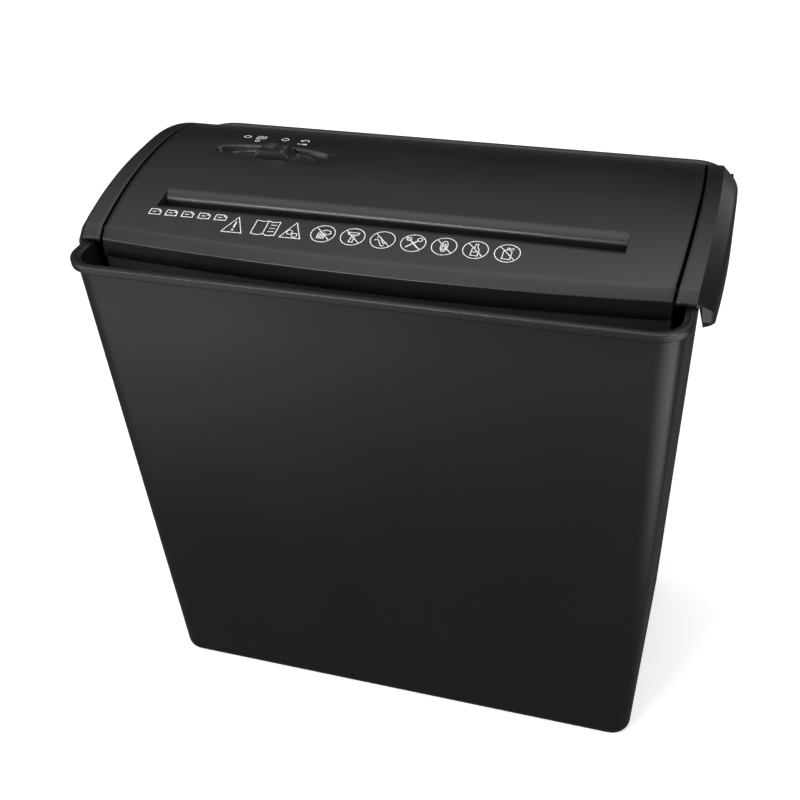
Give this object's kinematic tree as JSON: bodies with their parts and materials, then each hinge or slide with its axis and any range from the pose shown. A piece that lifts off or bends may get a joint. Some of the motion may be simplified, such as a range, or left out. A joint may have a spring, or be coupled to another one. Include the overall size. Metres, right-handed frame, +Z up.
{
  "type": "paper shredder",
  "caption": "Strip-cut paper shredder with a curved black cutter head that lifts off a tall tapered waste bin.",
  "frame": {"origin": "on the floor, in the middle of the bin's footprint", "axes": "+Z up, the front faces -Y, and the paper slot and both cutters run along X"},
  "size_m": [0.3006, 0.1734, 0.2891],
  "materials": {
    "cover_black": "fine grained, satin",
    "bin_black": "satin moulded",
    "inner_black": "as moulded",
    "gear_nylon": "as moulded",
    "tool_steel": "turned and oiled",
    "zinc_steel": "zinc plated",
    "bush_bronze": "sintered",
    "board_green": "solder mask",
    "relay_blue": "as moulded",
    "capacitor_sleeve": "shrink sleeve"
  },
  "bodies": {
    "bin": {"waste_bin": "bin_black"},
    "head": {"top_cover": "cover_black", "left_end_cap": "cover_black", "right_end_cap": "cover_black", "lower_housing": "inner_black", "cover_screw_1": "zinc_steel", "cover_screw_2": "zinc_steel", "cover_screw_3": "zinc_steel", "cover_screw_4": "zinc_steel", "front_stripper": "inner_black", "rear_stripper": "inner_black", "left_frame_plate": "zinc_steel", "right_frame_plate": "zinc_steel", "tie_rod_1": "tool_steel", "tie_rod_2": "tool_steel", "tie_rod_3": "tool_steel", "left_front_bush": "bush_bronze", "left_rear_bush": "bush_bronze", "right_front_bush": "bush_bronze", "right_rear_bush": "bush_bronze", "first_gear_stud": "tool_steel", "second_gear_stud": "tool_steel", "motor_can": "zinc_steel", "motor_end_bell": "inner_black", "motor_screw_1": "zinc_steel", "motor_screw_2": "zinc_steel", "mode_switch": "inner_black", "paper_switch": "inner_black", "interlock_switch": "inner_black", "circuit_board": "board_green", "drive_relay": "relay_blue", "filter_capacitor": "capacitor_sleeve", "thermal_cutout": "inner_black", "cord_gland": "cover_black"},
    "slider": {"mode_slider": "cover_black"},
    "front_shaft": {"front_cutter": "tool_steel", "front_cutter_gear": "gear_nylon"},
    "rear_shaft": {"rear_cutter": "tool_steel", "rear_cutter_gear": "gear_nylon", "cutter_drive_gear": "gear_nylon"},
    "second_stage": {"second_reduction_gear": "gear_nylon"},
    "first_stage": {"first_reduction_gear": "gear_nylon"},
    "rotor": {"motor_rotor": "tool_steel", "motor_pinion": "bush_bronze"},
    "lever": {"paper_lever": "cover_black"},
    "plunger": {"interlock_plunger": "inner_black"}
  },
  "joints": [
    {"name": "head_lift", "type": "slide", "parent": "bin", "child": "head", "axis": [0, 0, 1], "range_m": [0, 0.12]},
    {"name": "mode_slide", "type": "slide", "parent": "head", "child": "slider", "axis": [1, 0, 0], "range_m": [-0.0065, 0.0065]},
    {"name": "rear_cutter_spin", "type": "hinge", "parent": "head", "child": "rear_shaft", "pos_m": [0, -0.0259, 0.243], "axis": [1, 0, 0], "continuous": true},
    {"name": "front_cutter_spin", "type": "hinge", "parent": "head", "child": "front_shaft", "pos_m": [0, -0.0439, 0.243], "axis": [1, 0, 0], "continuous": true},
    {"name": "second_stage_spin", "type": "hinge", "parent": "head", "child": "second_stage", "pos_m": [0, -0.01124, 0.24834], "axis": [1, 0, 0], "continuous": true},
    {"name": "first_stage_spin", "type": "hinge", "parent": "head", "child": "first_stage", "pos_m": [0, 0.01107, 0.25029], "axis": [1, 0, 0], "continuous": true},
    {"name": "rotor_spin", "type": "hinge", "parent": "head", "child": "rotor", "pos_m": [0, 0.03291, 0.24761], "axis": [1, 0, 0], "continuous": true},
    {"name": "paper_lever_turn", "type": "hinge", "parent": "head", "child": "lever", "pos_m": [0, -0.0245, 0.268], "axis": [1, 0, 0], "range_deg": [0, 30], "stiffness_Nm_per_rad": 0.001, "springref_deg": -11.46},
    {"name": "plunger_press", "type": "slide", "parent": "head", "child": "plunger", "axis": [0, 0, 1], "range_m": [0, 0.0008], "stiffness_N_per_m": 100, "springref_m": -0.001}
  ],
  "couplings": [
    {"joint": "front_cutter_spin", "follows": "rear_cutter_spin", "ratio": -1},
    {"joint": "second_stage_spin", "follows": "rear_cutter_spin", "ratio": -2.5455},
    {"joint": "first_stage_spin", "follows": "rear_cutter_spin", "ratio": 10.413},
    {"joint": "rotor_spin", "follows": "rear_cutter_spin", "ratio": -46.86}
  ]
}
